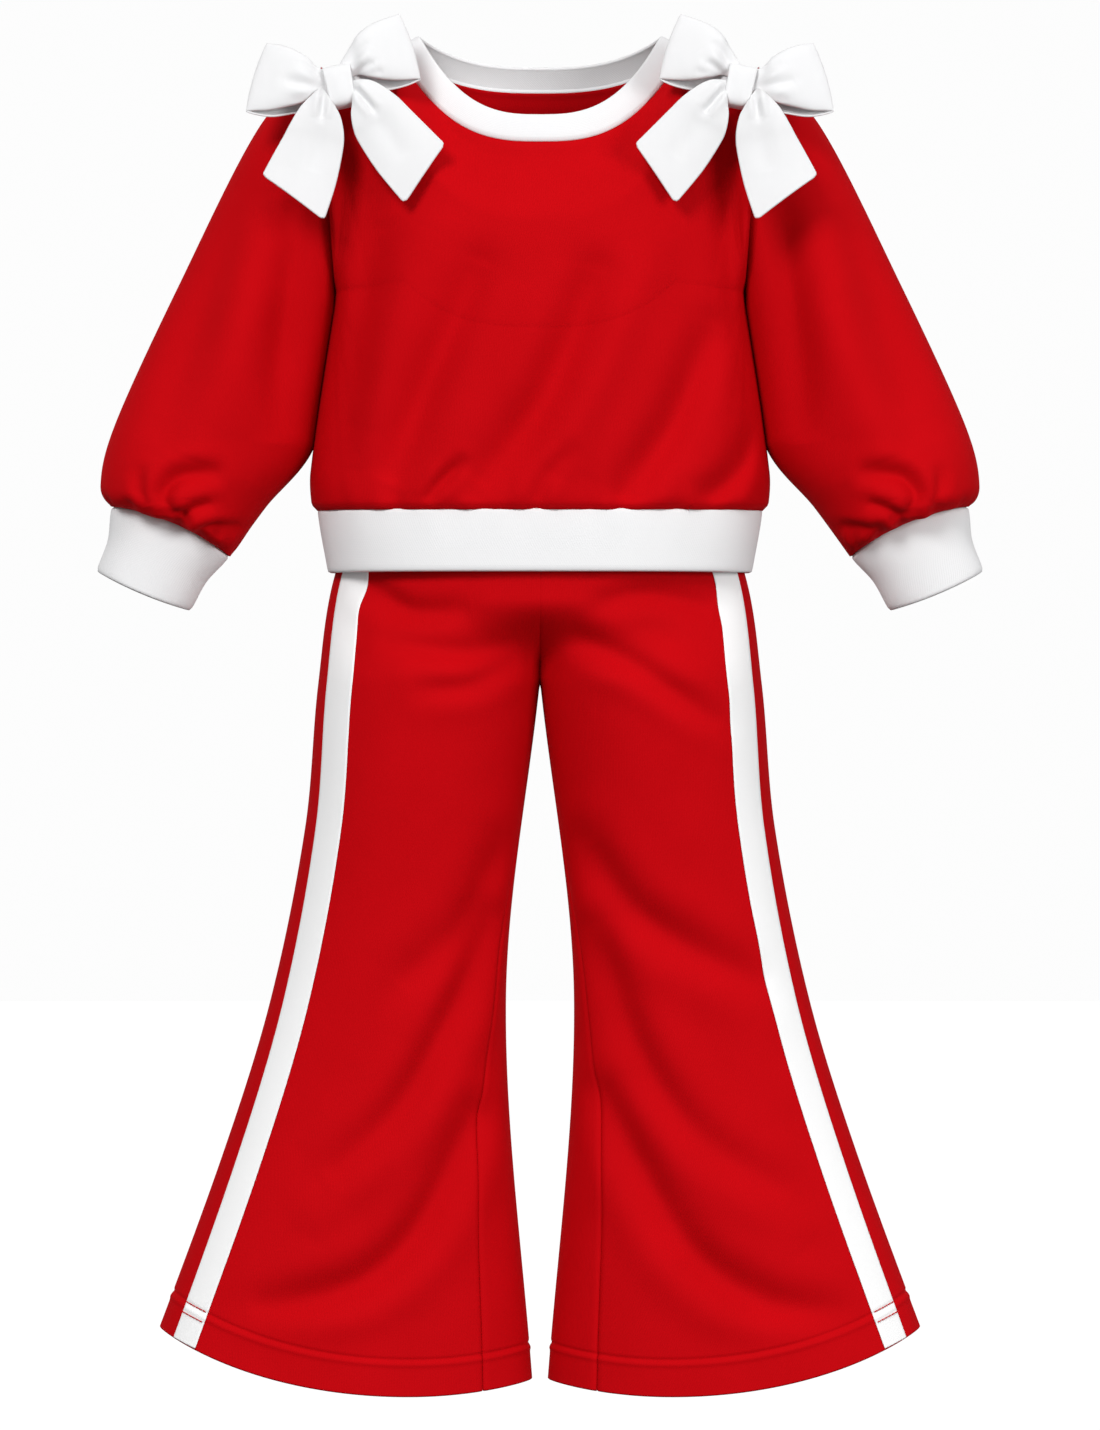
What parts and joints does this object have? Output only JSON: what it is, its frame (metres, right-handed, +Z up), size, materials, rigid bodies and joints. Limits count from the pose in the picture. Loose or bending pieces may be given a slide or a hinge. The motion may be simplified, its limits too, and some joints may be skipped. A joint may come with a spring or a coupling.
{
  "type": "cheer uniform",
  "caption": "Child's pullover with balloon sleeves, white bands and shoulder bows, worn with side-striped flared trousers.",
  "frame": {"origin": "centre of the waistband's top opening, where the wearer's waist holds the trousers", "axes": "+Z up along the body, -Y the front, +X the wearer's left"},
  "size_m": [0.5828, 0.1602, 0.9085],
  "materials": {
    "red_knit": "matt smooth double knit",
    "white_rib": "matt doubled knit",
    "white_bow_cloth": "matt smooth woven",
    "white_stripe": "matt knit tape",
    "white_thread": "thread",
    "elastic": "woven elastic"
  },
  "bodies": {
    "trousers": {"waistband_casing": "red_knit", "waist_elastic": "elastic", "left_front_leg_panel": "red_knit", "left_back_leg_panel": "red_knit", "left_leg_stripe": "white_stripe", "right_front_leg_panel": "red_knit", "right_back_leg_panel": "red_knit", "right_leg_stripe": "white_stripe"},
    "pullover": {"front_body_panel": "red_knit", "back_body_panel": "red_knit", "neckband": "white_rib", "hem_band": "white_rib", "left_bow_knot": "white_bow_cloth", "left_bow_outer_loop": "white_bow_cloth", "left_bow_inner_loop": "white_bow_cloth", "left_bow_tack": "white_thread", "right_bow_knot": "white_bow_cloth", "right_bow_outer_loop": "white_bow_cloth", "right_bow_inner_loop": "white_bow_cloth", "right_bow_tack": "white_thread"},
    "left_arm": {"left_sleeve": "red_knit", "left_cuff": "white_rib"},
    "left_outer_tail": {"left_bow_outer_tail": "white_bow_cloth"},
    "left_inner_tail": {"left_bow_inner_tail": "white_bow_cloth"},
    "right_arm": {"right_sleeve": "red_knit", "right_cuff": "white_rib"},
    "right_outer_tail": {"right_bow_outer_tail": "white_bow_cloth"},
    "right_inner_tail": {"right_bow_inner_tail": "white_bow_cloth"}
  },
  "joints": [
    {"name": "pullover_lift", "type": "slide", "parent": "trousers", "child": "pullover", "axis": [0, 0, 1], "range_m": [0, 0.12]},
    {"name": "left_sleeve_raise", "type": "hinge", "parent": "pullover", "child": "left_arm", "pos_m": [0.145, 0, 0.215], "axis": [0, -1, 0], "range_deg": [0, 35]},
    {"name": "left_outer_tail_swing", "type": "hinge", "parent": "pullover", "child": "left_outer_tail", "pos_m": [0.135, -0.06187, 0.1919], "axis": [-1, 0, 0], "range_deg": [0, 50]},
    {"name": "left_inner_tail_swing", "type": "hinge", "parent": "pullover", "child": "left_inner_tail", "pos_m": [0.135, -0.06187, 0.1919], "axis": [-1, 0, 0], "range_deg": [0, 50]},
    {"name": "right_sleeve_raise", "type": "hinge", "parent": "pullover", "child": "right_arm", "pos_m": [-0.145, 0, 0.215], "axis": [0, 1, 0], "range_deg": [0, 35]},
    {"name": "right_outer_tail_swing", "type": "hinge", "parent": "pullover", "child": "right_outer_tail", "pos_m": [-0.135, -0.06187, 0.1919], "axis": [-1, 0, 0], "range_deg": [0, 50]},
    {"name": "right_inner_tail_swing", "type": "hinge", "parent": "pullover", "child": "right_inner_tail", "pos_m": [-0.135, -0.06187, 0.1919], "axis": [-1, 0, 0], "range_deg": [0, 50]}
  ]
}
